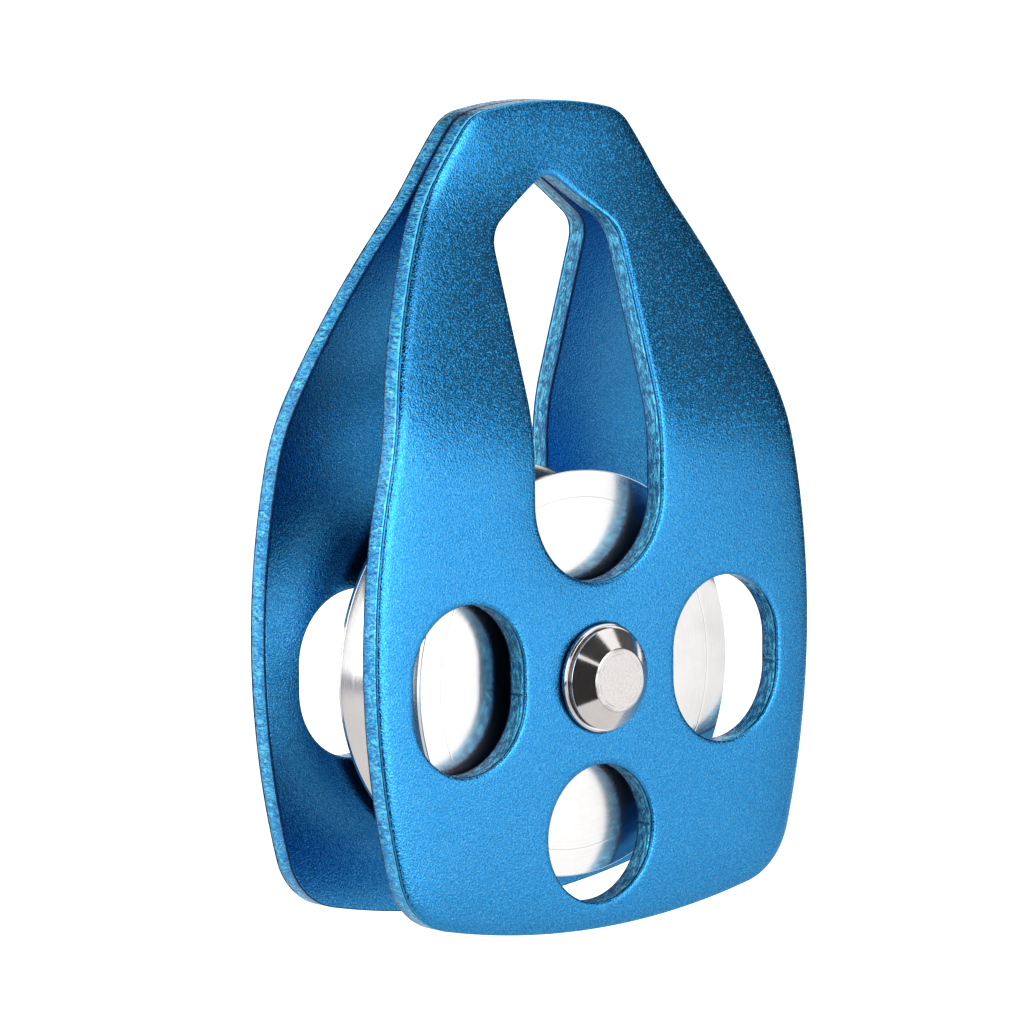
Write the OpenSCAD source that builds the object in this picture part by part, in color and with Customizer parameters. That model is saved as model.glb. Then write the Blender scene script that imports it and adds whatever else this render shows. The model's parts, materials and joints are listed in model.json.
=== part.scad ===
// Swing-cheek rope pulley with one grooved wheel.
// The origin is the centre of the axle on the mid-plane between the two side plates.
// +Y runs along the axle towards the rear plate, +Z runs up to the connector eye, +X runs across.

/* [Side plates] */
// Thickness of each side plate
plate_t = 4.0; // [3.2:0.1:4.4]
// Widest half width of a side plate
plate_half_w = 46.3; // [45:0.1:48]
// Radius of the long arc down each side of a plate
side_arc_r = 132; // [125:1:140]
// Height above the axle at which a plate is widest
side_arc_z = 6; // [4:0.5:8]
// Lowest point of a plate, below the axle
plate_bottom = 40.9; // [40:0.1:43]
// Radius of the shallow arc along the bottom edge
bottom_arc_r = 150; // [120:5:200]
// Corner radius at the bottom of a plate
bottom_corner_r = 12; // [6:0.5:14]
// Highest point of a plate, above the axle
plate_top = 92.2; // [91:0.1:95]
// Radius of the arc along the top edge
top_arc_r = 65; // [50:5:90]
// Corner radius at the top of a plate
top_corner_r = 8; // [5:0.5:9]
// Clear width between the plates beside the wheel
inner_gap = 24.4; // [24:0.1:25]
// Gap left between the two plates where they meet above the wheel
meet_gap = 0.2; // [0.2:0.05:0.4]
// Height of the lower bend, where a plate starts to lean in
lower_bend_z = 40.8; // [39:0.1:42]
// Height of the upper bend, where a plate turns upright again
upper_bend_z = 77.4; // [76:0.1:79]
// Inside radius of the lower bend
lower_bend_r = 34; // [10:1:40]
// Inside radius of the upper bend
upper_bend_r = 22; // [8:1:26]

/* [Connector slot] */
// Half width of the slot
slot_half_w = 13.6; // [12:0.1:14]
// Height of the centre of the slot's round lower end
slot_low_z = 29; // [28:0.1:31]
// Height where the slot's upright sides would meet its roof
slot_shoulder_z = 71.7; // [70:0.1:73]
// Height where the two sides of the roof would meet
slot_peak_z = 81; // [80:0.1:82]
// Radius of the slot's two shoulders
slot_shoulder_r = 6; // [4:0.5:8]
// Radius of the top of the slot
slot_peak_r = 4; // [3:0.5:6]

/* [Openings] */
// Radius of the round opening near the bottom of a plate
low_hole_r = 11.25; // [10:0.25:12]
// Depth of the round opening's centre below the axle
low_hole_z = 25.4; // [25:0.1:27]
// Radius of the round ends of the two side openings
side_hole_r = 11.6; // [10:0.1:12]
// Distance of the two side openings from the axle
side_hole_x = 27.6; // [27:0.1:30]
// Height of the two side openings' centre above the axle
side_hole_z = 0.5; // [0:0.1:1]
// Length of the straight sides of the two side openings
side_hole_straight = 4.2; // [2:0.2:6]

/* [Wheel] */
// Outside radius of the wheel
wheel_r = 33; // [32:0.1:33.5]
// Width of the wheel
wheel_w = 20.5; // [20:0.1:20.8]
// Radius of the wheel at the bottom of its rope groove
groove_root_r = 28.5; // [24:0.5:29]
// Width of the rim left on each side of the groove
rim_w = 0.8; // [0.6:0.1:1.2]

/* [Axle and bearings] */
// Diameter of the axle
axle_d = 12; // [11.9:0.05:12]
// Outside diameter of each ball bearing
bearing_od = 28; // [27.5:0.5:28]
// Width of each ball bearing
bearing_w = 8; // [7.9:0.1:8]
// Number of balls in each bearing
ball_count = 8; // [6:1:9]
// Diameter of each ball
ball_d = 4.6; // [4.4:0.1:4.7]
// Outside diameter of the washer under each axle head
washer_d = 17.6; // [17:0.1:18.5]
// Thickness of the washer under each axle head
washer_t = 1.25; // [1:0.05:1.5]
// Largest diameter of the cone of each axle head
head_d = 16.4; // [14.8:0.1:17]
// Diameter of the flat end of each axle head
head_flat_d = 10.2; // [9:0.1:11]
// Height of each axle head above its washer
head_h = 3.2; // [3:0.1:4.2]

/* [Hidden] */
$fn = 96;

blue = [0.13, 0.50, 0.80];
silver = [0.80, 0.81, 0.83];
steel = [0.62, 0.62, 0.64];
bronze = [0.70, 0.52, 0.30];
rubber_black = [0.10, 0.10, 0.11];
nylon = [0.86, 0.80, 0.64];

y_in = inner_gap / 2;                 // inner face of the lower part of a plate
y_out = y_in + plate_t;               // outer face of the lower part of a plate
y_meet = meet_gap / 2;                // inner face of the upper part of a plate
lean = atan((y_in - y_meet) / (upper_bend_z - lower_bend_z)); // lean of the middle part
bend_shift = plate_t * tan(lean / 2); // the inner face bends this much lower
axle_r = axle_d / 2;
bore_r = axle_r + 0.05;               // running bore of a plate bush
bush_r = 7.5;                         // hole in the plate that holds the bush
flange_r = 10;                        // flange of a bush
flange_t = 1;
run_gap = 0.1;                        // side clearance of each turning part
washer_y = y_out + run_gap;           // inner face of the outer washer
head_y = washer_y + washer_t;         // inner face of the axle head
neck_h = 0.4;                         // shallow neck under the head's cone
lip_h = 0.35;                         // short straight edge of the cone
spacer_r = 8.3;
spigot_r = 3.5;                       // end of the axle that the rear head is swaged onto
race_pitch_r = (axle_d + bearing_od) / 4;
inner_race_r = 8.0;                   // shoulder of the inner race
outer_race_r = 12.0;                  // shoulder of the outer race
track_r = ball_d / 2 + 0.1;           // radius of the grooves the balls run in
seal_t = 0.6;
circlip_t = 1.2;
circlip_groove_r = bearing_od / 2 + 0.7;

// Points along an arc of radius r about [cx, cy] from angle a0 to angle a1
function arc(c, r, a0, a1, n) =
    [for (i = [0 : n]) let (a = a0 + (a1 - a0) * i / n) [c[0] + r * cos(a), c[1] + r * sin(a)]];

// Where two circles cross: the upper crossing when up is true, or the lower one
function meet(c1, r1, c2, r2, up) =
    let (dx = c2[0] - c1[0], dy = c2[1] - c1[1], d = sqrt(dx * dx + dy * dy),
         a = (r1 * r1 - r2 * r2 + d * d) / (2 * d), h = sqrt(r1 * r1 - a * a),
         p = [c1[0] + a * dx / d, c1[1] + a * dy / d],
         q1 = [p[0] + h * dy / d, p[1] - h * dx / d],
         q2 = [p[0] - h * dy / d, p[1] + h * dx / d])
    (q1[1] > q2[1]) == up ? q1 : q2;

function heading(from, to) = atan2(to[1] - from[1], to[0] - from[0]);

// A corner of a polygon rounded with radius r: arc points between the two straight sides
function rounded(p0, p1, p2, r, n) =
    let (a = heading(p1, p0), b = heading(p1, p2),
         half = abs(((b - a + 540) % 360) - 180) / 2,
         mid = atan2(sin(a) + sin(b), cos(a) + cos(b)),
         c = [p1[0] + cos(mid) * r / sin(half), p1[1] + sin(mid) * r / sin(half)],
         s = mid + 180, span = 90 - half,
         turn = (((b - a + 540) % 360) - 180) > 0 ? 1 : -1)
    [for (i = [0 : n]) let (t = s - turn * span * (1 - 2 * i / n) * -1) [c[0] + r * cos(t), c[1] + r * sin(t)]];

function mirrored(pts) = [for (i = [len(pts) - 1 : -1 : 0]) [-pts[i][0], pts[i][1]]];

// Outline of a plate in the XZ plane: four long arcs joined by corner arcs
c_side = [plate_half_w - side_arc_r, side_arc_z];
c_low = [0, bottom_arc_r - plate_bottom];
c_top = [0, plate_top - top_arc_r];
f_low = meet(c_side, side_arc_r - bottom_corner_r, c_low, bottom_arc_r - bottom_corner_r, false);
f_top = meet(c_side, side_arc_r - top_corner_r, c_top, top_arc_r - top_corner_r, true);
half_outline = concat(
    arc(c_low, bottom_arc_r, -90, heading(c_low, f_low), 8),
    arc(f_low, bottom_corner_r, heading(c_low, f_low), heading(c_side, f_low), 8),
    arc(c_side, side_arc_r, heading(c_side, f_low), heading(c_side, f_top), 32),
    arc(f_top, top_corner_r, heading(c_side, f_top), heading(c_top, f_top), 6),
    arc(c_top, top_arc_r, heading(c_top, f_top), 90, 4));

function tidy(p) = [for (i = [0 : len(p) - 1])
    let (q = p[(i + len(p) - 1) % len(p)])
    if (abs(p[i][0] - q[0]) + abs(p[i][1] - q[1]) > 0.001) p[i]];

module plate_outline() {
    polygon(tidy(concat(half_outline, mirrored(half_outline))));
}

// Slot: round lower end, upright sides and a pitched roof with rounded shoulders
module slot_outline() {
    translate([0, slot_low_z]) circle(r = slot_half_w);
    peak = [0, slot_peak_z];
    sr = [slot_half_w, slot_shoulder_z];
    sl = [-slot_half_w, slot_shoulder_z];
    lr = [slot_half_w, slot_low_z];
    ll = [-slot_half_w, slot_low_z];
    polygon(concat([ll, lr],
        rounded(lr, sr, peak, slot_shoulder_r, 8),
        rounded(sr, peak, sl, slot_peak_r, 8),
        rounded(peak, sl, ll, slot_shoulder_r, 8)));
}

module side_hole_outline() {
    translate([side_hole_x, side_hole_z]) {
        translate([0, side_hole_straight / 2]) circle(r = side_hole_r);
        translate([0, -side_hole_straight / 2]) circle(r = side_hole_r);
        square([2 * side_hole_r, side_hole_straight], center = true);
    }
}

// Side view of a plate in the YZ plane, leaning in above the wheel, as [y, z] points
profile = concat(
    [[y_out, -plate_bottom - 5]],
    rounded([y_out, 0], [y_out, lower_bend_z], [y_meet + plate_t, upper_bend_z], lower_bend_r + plate_t, 8),
    rounded([y_out, lower_bend_z], [y_meet + plate_t, upper_bend_z], [y_meet + plate_t, 200], upper_bend_r, 6),
    [[y_meet + plate_t, plate_top + 5], [y_meet, plate_top + 5]],
    rounded([y_meet, 200], [y_meet, upper_bend_z - bend_shift], [y_in, lower_bend_z - bend_shift], upper_bend_r + plate_t, 6),
    rounded([y_meet, upper_bend_z - bend_shift], [y_in, lower_bend_z - bend_shift], [y_in, 0], lower_bend_r, 8),
    [[y_in, -plate_bottom - 5]]);

// Turns a drawing in XY into a solid that spans y0 to y1, with the drawing's Y upright
module along_y(y0, y1) {
    translate([0, y1, 0]) rotate([90, 0, 0]) linear_extrude(height = y1 - y0) children();
}

// One rear side plate; the front plate is its mirror image
module side_plate() {
    color(blue) difference() {
        intersection() {
            translate([-60, 0, 0]) rotate([90, 0, 90]) linear_extrude(height = 120) polygon(profile);
            along_y(-1, y_out + 1) plate_outline();
        }
        along_y(-2, y_out + 2) slot_outline();
        along_y(-2, y_out + 2) side_hole_outline();
        along_y(-2, y_out + 2) mirror([1, 0]) side_hole_outline();
        translate([0, -2, -low_hole_z]) rotate([-90, 0, 0]) cylinder(h = y_out + 4, r = low_hole_r);
        translate([0, -2, 0]) rotate([-90, 0, 0]) cylinder(h = y_out + 4, r = bush_r);
    }
}

// Turns a [radius, y] outline about the axle
module turned(pts) {
    rotate([-90, 0, 0]) rotate_extrude() polygon(pts);
}

module front() { mirror([0, 1, 0]) children(); }

// Flanged bush pressed into a plate, on which the plate swings about the axle
module plate_bush() {
    color(bronze) turned([[bore_r, y_in - flange_t], [flange_r, y_in - flange_t], [flange_r, y_in],
        [bush_r, y_in], [bush_r, y_out], [bore_r, y_out]]);
}

// Cone of an axle head, from its inner face outwards
function head_points(r_in) = [
    [r_in, head_y], [head_d / 2 - 0.6, head_y], [head_d / 2 - 0.6, head_y + neck_h],
    [head_d / 2, head_y + neck_h], [head_d / 2, head_y + neck_h + lip_h],
    [head_flat_d / 2 + 0.15, head_y + head_h - 0.1], [head_flat_d / 2 - 0.1, head_y + head_h],
    [r_in, head_y + head_h]];

// Axle with the front head in one piece and a reduced end for the rear head
module axle_pin() {
    color(steel) {
        front() turned(head_points(0));
        rotate([-90, 0, 0]) translate([0, 0, -head_y - 0.05]) cylinder(h = 2 * head_y + 0.05, r = axle_r);
        rotate([-90, 0, 0]) translate([0, 0, head_y - 0.1]) cylinder(h = head_h + 0.1, r = spigot_r);
    }
}

// Rear head, swaged onto the reduced end of the axle
module rear_axle_head() {
    color(steel) turned(head_points(spigot_r));
}

module outer_washer() {
    color(steel) turned([[axle_r, washer_y], [washer_d / 2 - 0.3, washer_y], [washer_d / 2, washer_y + 0.3],
        [washer_d / 2, washer_y + washer_t - 0.3], [washer_d / 2 - 0.3, washer_y + washer_t], [axle_r, washer_y + washer_t]]);
}

// Spacer between a bearing's inner race and the flange of a plate bush
module inner_spacer() {
    color(steel) turned([[axle_r, bearing_w], [spacer_r, bearing_w], [spacer_r, y_in - flange_t - run_gap - 0.3],
        [spacer_r - 0.3, y_in - flange_t - run_gap], [axle_r, y_in - flange_t - run_gap]]);
}

// Grooved wheel, bored for two bearings and two circlips
module sheave() {
    half = wheel_w / 2;
    groove_half = half - rim_w;
    depth = wheel_r - groove_root_r;
    groove_r = (groove_half * groove_half + depth * depth) / (2 * depth);
    line_r = 28.7;
    color(silver) difference() {
        turned([
            [bearing_od / 2, -half], [line_r - 0.15, -half], [line_r, -half + 0.15], [line_r + 0.15, -half],
            [wheel_r - 0.25, -half], [wheel_r, -half + 0.25],
            [wheel_r, half - 0.25], [wheel_r - 0.25, half],
            [line_r + 0.15, half], [line_r, half - 0.15], [line_r - 0.15, half], [bearing_od / 2, half]]);
        rotate([-90, 0, 0]) rotate_extrude() translate([groove_root_r + groove_r, 0]) circle(r = groove_r);
        for (s = [-1, 1]) rotate([-90, 0, 0]) translate([0, 0, s * (bearing_w + circlip_t / 2) - circlip_t / 2])
            cylinder(h = circlip_t, r = circlip_groove_r);
    }
}

// Spring ring that holds a bearing in the wheel; its ends and ears leave a gap at the top
module circlip() {
    color(steel) along_y(bearing_w + 0.02, bearing_w + circlip_t - 0.02) difference() {
        union() {
            difference() { circle(r = circlip_groove_r - 0.1); circle(r = bearing_od / 2 - 1.3); }
            for (s = [-1, 1]) intersection() {
                translate([s * 3.1, 12.1]) circle(r = 1.7);
                circle(r = bearing_od / 2 - 0.5);
            }
        }
        translate([-1.5, 9]) square([3, 8]);
        for (s = [-1, 1]) translate([s * 3.1, 12.1]) circle(r = 0.6);
    }
}

// Track that the balls run in, as a ring to subtract from both races
module ball_track() {
    translate([0, bearing_w / 2, 0]) rotate([-90, 0, 0]) rotate_extrude() translate([race_pitch_r, 0]) circle(r = track_r);
}

module outer_race() {
    ch = 0.4;
    color(steel) difference() {
        turned([[outer_race_r, 0], [bearing_od / 2 - ch, 0], [bearing_od / 2, ch], [bearing_od / 2, bearing_w - ch],
            [bearing_od / 2 - ch, bearing_w], [outer_race_r, bearing_w]]);
        ball_track();
    }
}

module inner_race() {
    ch = 0.4;
    color(steel) difference() {
        turned([[axle_r, ch], [axle_r + ch, 0], [inner_race_r, 0], [inner_race_r, bearing_w], [axle_r + ch, bearing_w], [axle_r, bearing_w - ch]]);
        ball_track();
    }
}

module bearing_balls() {
    color(steel) for (i = [0 : ball_count - 1])
        rotate([0, 360 * i / ball_count, 0]) translate([race_pitch_r, bearing_w / 2, 0]) sphere(d = ball_d);
}

// Moulded cage: a ring on the inboard side with a pocket round each ball
module bearing_cage() {
    color(nylon) difference() {
        turned([[race_pitch_r - 1.3, bearing_w / 2 - 2.4], [race_pitch_r + 1.3, bearing_w / 2 - 2.4],
            [race_pitch_r + 1.3, bearing_w / 2 + 1.2], [race_pitch_r - 1.3, bearing_w / 2 + 1.2]]);
        for (i = [0 : ball_count - 1])
            rotate([0, 360 * i / ball_count, 0]) translate([race_pitch_r, bearing_w / 2, 0]) sphere(d = ball_d + 0.2);
    }
}

// Rubber-faced seal, fixed in the outer race and just clear of the inner race
module seal(y0) {
    color(rubber_black) turned([[inner_race_r + 0.1, y0], [outer_race_r, y0], [outer_race_r, y0 + seal_t], [inner_race_r + 0.1, y0 + seal_t]]);
}
module outboard_seal() { seal(bearing_w - seal_t - 0.2); }
module inboard_seal() { seal(0.2); }

module front_side_plate() { front() side_plate(); }
module rear_side_plate() { side_plate(); }
module front_plate_bush() { front() plate_bush(); }
module rear_plate_bush() { plate_bush(); }
module front_outer_washer() { front() outer_washer(); }
module rear_outer_washer() { outer_washer(); }
module front_inner_spacer() { front() inner_spacer(); }
module rear_inner_spacer() { inner_spacer(); }
module front_circlip() { front() circlip(); }
module rear_circlip() { circlip(); }
module front_bearing_outer_race() { front() outer_race(); }
module rear_bearing_outer_race() { outer_race(); }
module front_bearing_inner_race() { front() inner_race(); }
module rear_bearing_inner_race() { inner_race(); }
module front_bearing_balls() { front() bearing_balls(); }
module rear_bearing_balls() { bearing_balls(); }
module front_bearing_cage() { front() bearing_cage(); }
module rear_bearing_cage() { bearing_cage(); }
module front_bearing_outboard_seal() { front() outboard_seal(); }
module rear_bearing_outboard_seal() { outboard_seal(); }
module front_bearing_inboard_seal() { front() inboard_seal(); }
module rear_bearing_inboard_seal() { inboard_seal(); }

front_side_plate();
rear_side_plate();
front_plate_bush();
rear_plate_bush();
axle_pin();
rear_axle_head();
front_outer_washer();
rear_outer_washer();
front_inner_spacer();
rear_inner_spacer();
sheave();
front_circlip();
rear_circlip();
front_bearing_outer_race();
rear_bearing_outer_race();
front_bearing_inner_race();
rear_bearing_inner_race();
front_bearing_balls();
rear_bearing_balls();
front_bearing_cage();
rear_bearing_cage();
front_bearing_outboard_seal();
rear_bearing_outboard_seal();
front_bearing_inboard_seal();
rear_bearing_inboard_seal();
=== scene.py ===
import json
import math

import bpy
import numpy as np
from mathutils import Matrix, Vector, kdtree
from mathutils.geometry import delaunay_2d_cdt

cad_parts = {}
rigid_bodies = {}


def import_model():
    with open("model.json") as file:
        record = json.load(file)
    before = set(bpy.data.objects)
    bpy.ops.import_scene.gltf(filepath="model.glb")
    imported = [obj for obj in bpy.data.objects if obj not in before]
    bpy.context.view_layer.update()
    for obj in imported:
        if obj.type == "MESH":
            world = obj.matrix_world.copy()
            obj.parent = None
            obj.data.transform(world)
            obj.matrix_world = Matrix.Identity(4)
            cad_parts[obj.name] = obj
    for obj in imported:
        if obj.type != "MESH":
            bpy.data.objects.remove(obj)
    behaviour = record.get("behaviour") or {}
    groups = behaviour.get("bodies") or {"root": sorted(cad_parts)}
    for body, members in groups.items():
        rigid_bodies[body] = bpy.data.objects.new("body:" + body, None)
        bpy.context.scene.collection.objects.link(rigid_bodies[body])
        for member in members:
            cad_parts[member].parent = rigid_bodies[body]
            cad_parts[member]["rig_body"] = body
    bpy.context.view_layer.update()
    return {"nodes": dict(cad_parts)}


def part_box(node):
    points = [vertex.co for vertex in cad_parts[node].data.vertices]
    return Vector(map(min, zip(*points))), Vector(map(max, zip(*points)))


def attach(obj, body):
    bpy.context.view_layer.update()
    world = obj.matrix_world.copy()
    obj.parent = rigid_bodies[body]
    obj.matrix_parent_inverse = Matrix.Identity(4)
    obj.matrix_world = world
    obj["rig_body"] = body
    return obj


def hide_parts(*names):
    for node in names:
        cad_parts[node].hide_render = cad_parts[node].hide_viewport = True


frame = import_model()
CAD = frame["nodes"]
scene = bpy.context.scene
MM = 0.001

# ---------------------------------------------------------------- camera
CAM = dict(az=-40.889, el=6.625, roll=-0.384, dist=903.813, focal=5552.965, cx=-3.718, cy=25.213)


def make_camera():
    a, e, r = (math.radians(CAM[k]) for k in ("az", "el", "roll"))
    back = Vector((math.sin(a) * math.cos(e), -math.cos(a) * math.cos(e), math.sin(e)))
    right0 = Vector((math.cos(a), math.sin(a), 0))
    up0 = back.cross(right0)
    right = math.cos(r) * right0 + math.sin(r) * up0
    up = -math.sin(r) * right0 + math.cos(r) * up0
    place = (CAM["dist"] * back + CAM["cx"] * right + CAM["cy"] * up) * MM
    data = bpy.data.cameras.new("camera")
    data.sensor_width = 36.0
    data.lens = CAM["focal"] / 1024 * 36.0
    data.clip_start, data.clip_end = 0.01, 200
    cam = bpy.data.objects.new("camera", data)
    scene.collection.objects.link(cam)
    m = Matrix((right, up, back)).transposed().to_4x4()
    m.translation = place
    cam.matrix_world = m
    scene.camera = cam


make_camera()

# ---------------------------------------------------------------- shader helpers


class Nodes:
    """A small helper that builds one material's node tree."""

    def __init__(self, name):
        self.mat = bpy.data.materials.new(name)
        self.mat.use_nodes = True
        self.t = self.mat.node_tree
        self.t.nodes.clear()
        self.out = self.t.nodes.new("ShaderNodeOutputMaterial")
        self.coord = self.t.nodes.new("ShaderNodeTexCoord")

    def new(self, kind, inputs=None, **props):
        n = self.t.nodes.new(kind)
        for k, v in props.items():
            setattr(n, k, v)
        for k, v in (inputs or {}).items():
            if isinstance(v, bpy.types.NodeSocket):
                self.t.links.new(v, n.inputs[k])
            else:
                n.inputs[k].default_value = v
        return n

    def math(self, op, a, b=None, clamp=False):
        ins = {0: a}
        if b is not None:
            ins[1] = b
        return self.new("ShaderNodeMath", ins, operation=op, use_clamp=clamp).outputs[0]

    def remap(self, v, a, b, c, d, smooth=False):
        return self.new(
            "ShaderNodeMapRange",
            {"Value": v, "From Min": a, "From Max": b, "To Min": c, "To Max": d},
            interpolation_type="SMOOTHSTEP" if smooth else "LINEAR",
        ).outputs[0]

    def noise(self, scale, detail=2.0, rough=0.5, vector=None, dims="3D", w=None, distortion=0.0):
        ins = {"Scale": scale, "Detail": detail, "Roughness": rough, "Distortion": distortion}
        if dims == "1D":
            ins["W"] = w
        else:
            ins["Vector"] = vector if vector is not None else self.coord.outputs["Object"]
        return self.new("ShaderNodeTexNoise", ins, noise_dimensions=dims).outputs["Fac"]

    def mix(self, fac, a, b, blend="MIX"):
        n = self.t.nodes.new("ShaderNodeMix")
        n.data_type = "RGBA"
        n.blend_type = blend
        for k, v in (("Factor", fac), ("A", a), ("B", b)):
            s = next(i for i in n.inputs if i.name == k and (i.type == "RGBA" if k != "Factor" else i.type == "VALUE"))
            if isinstance(v, bpy.types.NodeSocket):
                self.t.links.new(v, s)
            else:
                s.default_value = v
        return next(o for o in n.outputs if o.type == "RGBA")

    def bump(self, height, strength, distance, normal=None):
        ins = {"Height": height, "Strength": strength, "Distance": distance}
        if normal is not None:
            ins["Normal"] = normal
        return self.new("ShaderNodeBump", ins).outputs[0]

    def radius(self):
        """Distance from the axle's line, in metres."""
        flat = self.new(
            "ShaderNodeVectorMath", {0: self.coord.outputs["Object"], 1: (1.0, 0.0, 1.0)}, operation="MULTIPLY"
        ).outputs[0]
        return self.new("ShaderNodeVectorMath", {0: flat}, operation="LENGTH").outputs["Value"]

    def principled(self, **inputs):
        b = self.t.nodes.new("ShaderNodeBsdfPrincipled")
        for k, v in inputs.items():
            k = k.replace("_", " ")
            if isinstance(v, bpy.types.NodeSocket):
                self.t.links.new(v, b.inputs[k])
            else:
                b.inputs[k].default_value = v
        self.t.links.new(b.outputs[0], self.out.inputs["Surface"])
        return self.mat


def rgb(r, g, b):
    return (r, g, b, 1.0)


# ---------------------------------------------------------------- materials
GRAIN = 2900.0


def anodised_face(name, painted_shade_factor, smooth, dull, share):
    """Blasted aluminium under a dyed blue film: a fine grain of tilted facets and a thin clear surface."""
    n = Nodes(name)
    grain = n.noise(GRAIN, 1.6, 0.6)
    fine = n.noise(GRAIN * 2.1, 1.0, 0.5)
    coarse = n.noise(520.0, 2.0, 0.5)
    blotch = n.noise(38.0, 3.0, 0.55)
    # the shade factor darkens every colour: below 1 it is painted shade for faces that lie in shadow
    deep, pale = rgb(0.020 * painted_shade_factor, 0.255 * painted_shade_factor, 0.600 * painted_shade_factor), rgb(0.030 * painted_shade_factor, 0.295 * painted_shade_factor, 0.650 * painted_shade_factor)
    colour = n.mix(n.remap(blotch, 0.3, 0.7, 0.2, 0.8), deep, pale)
    colour = n.mix(n.remap(grain, 0.36, 0.58, 0.60, 0.0), colour, rgb(0.004, 0.130, 0.370))
    colour = n.mix(n.remap(fine, 0.52, 0.66, 0.0, 0.60), colour, rgb(0.110, 0.480, 0.820))
    if painted_shade_factor == 1.0:
        # painted contact shadow: a dark ring on the outer face round the washer, its edge wobbled by noise
        cloud = n.math("MULTIPLY", n.math("SUBTRACT", coarse, 0.5), 0.0006)
        colour = n.mix(n.remap(n.math("ADD", n.radius(), cloud), 0.00888, 0.00936, 0.85, 0.0, smooth=True), colour, rgb(0.001, 0.010, 0.030))
    facet = n.noise(GRAIN * 1.3, 1.2, 0.5)
    rough = n.remap(facet, 0.5 + share, 0.61 + share, smooth, dull)
    height = n.math(
        "ADD", n.math("ADD", n.math("MULTIPLY", grain, 1.0), n.math("MULTIPLY", coarse, 0.15)), n.math("MULTIPLY", fine, 0.12)
    )
    normal = n.bump(height, 1.0, 0.000070)
    return n.principled(
        Base_Color=colour, Metallic=1.0, Roughness=rough, Normal=normal, Coat_Weight=0.10, Coat_Roughness=0.12, Coat_IOR=1.5
    )


def anodised_edge(name, painted_shade_factor, stretch, tear):
    """The sheared wall of a plate: torn streaks across its thickness under the same blue film."""
    n = Nodes(name)
    uv = n.coord.outputs["UV"]
    depth = n.new("ShaderNodeSeparateXYZ", {0: uv}).outputs[1]
    torn = n.remap(depth, 0.75, 1.35, 0.12, 1.0, smooth=True)
    streak_v = n.new("ShaderNodeVectorMath", {0: uv, 1: stretch}, operation="MULTIPLY").outputs[0]
    streak = n.noise(1.25, 4.0, 0.66, vector=streak_v, distortion=1.3)
    crumble = n.noise(1.9, 3.0, 0.66, vector=streak_v, distortion=0.7)
    patch = n.noise(0.35, 2.0, 0.5, vector=uv)
    fine = n.noise(GRAIN * 1.1, 1.5, 0.6)
    # the shade factor darkens the wall's colours: below 1 it is painted shade
    colour = n.mix(n.remap(streak, 0.46, 0.60, 0.0, 1.0), rgb(0.020 * painted_shade_factor, 0.290 * painted_shade_factor, 0.680 * painted_shade_factor), rgb(0.150, 0.720, 1.000))
    colour = n.mix(n.math("MULTIPLY", n.remap(crumble, 0.38, 0.47, 0.90, 0.0), torn), colour, rgb(0.003 * painted_shade_factor, 0.080 * painted_shade_factor, 0.260 * painted_shade_factor))
    colour = n.mix(n.remap(patch, 0.4, 0.65, 0.0, 0.35 * painted_shade_factor * painted_shade_factor), colour, rgb(0.040, 0.46, 0.90))
    # painted shade darkening towards the inner face, painted shade in a dark line along the crease where the metal
    # tore, and a painted highlight line beside it
    colour = n.mix(n.remap(depth, 2.0, 3.3, 0.0, 0.42), colour, rgb(0.004, 0.100, 0.330))
    wander = n.math("ADD", depth, n.math("MULTIPLY", n.math("SUBTRACT", crumble, 0.5), 0.22))
    colour = n.mix(n.remap(n.math("ABSOLUTE", n.math("SUBTRACT", wander, tear + 0.30)), 0.08, 0.16, 0.75 * painted_shade_factor, 0.0), colour, rgb(0.110, 0.640, 0.980))
    colour = n.mix(n.remap(n.math("ABSOLUTE", n.math("SUBTRACT", wander, tear + 0.03)), 0.11, 0.17, 0.94, 0.0), colour, rgb(0.001, 0.020, 0.070))
    # painted shade: a near-black band at the break by the inner face
    colour = n.mix(n.remap(n.math("ADD", depth, n.math("MULTIPLY", crumble, 0.25)), 3.68, 3.80, 0.0, 0.96), colour, rgb(0.001, 0.020, 0.070))
    height = n.math("ADD", n.math("MULTIPLY", streak, 1.6), n.math("MULTIPLY", crumble, 1.2))
    height = n.math("ADD", n.math("MULTIPLY", height, torn), n.math("MULTIPLY", fine, 0.16))
    normal = n.bump(height, 1.0, 0.000190)
    return n.principled(
        Base_Color=colour, Metallic=1.0, Roughness=n.remap(streak, 0.3, 0.7, 0.16, 0.34), Normal=normal,
        Coat_Weight=0.12, Coat_Roughness=0.15, Coat_IOR=1.5
    )


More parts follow.
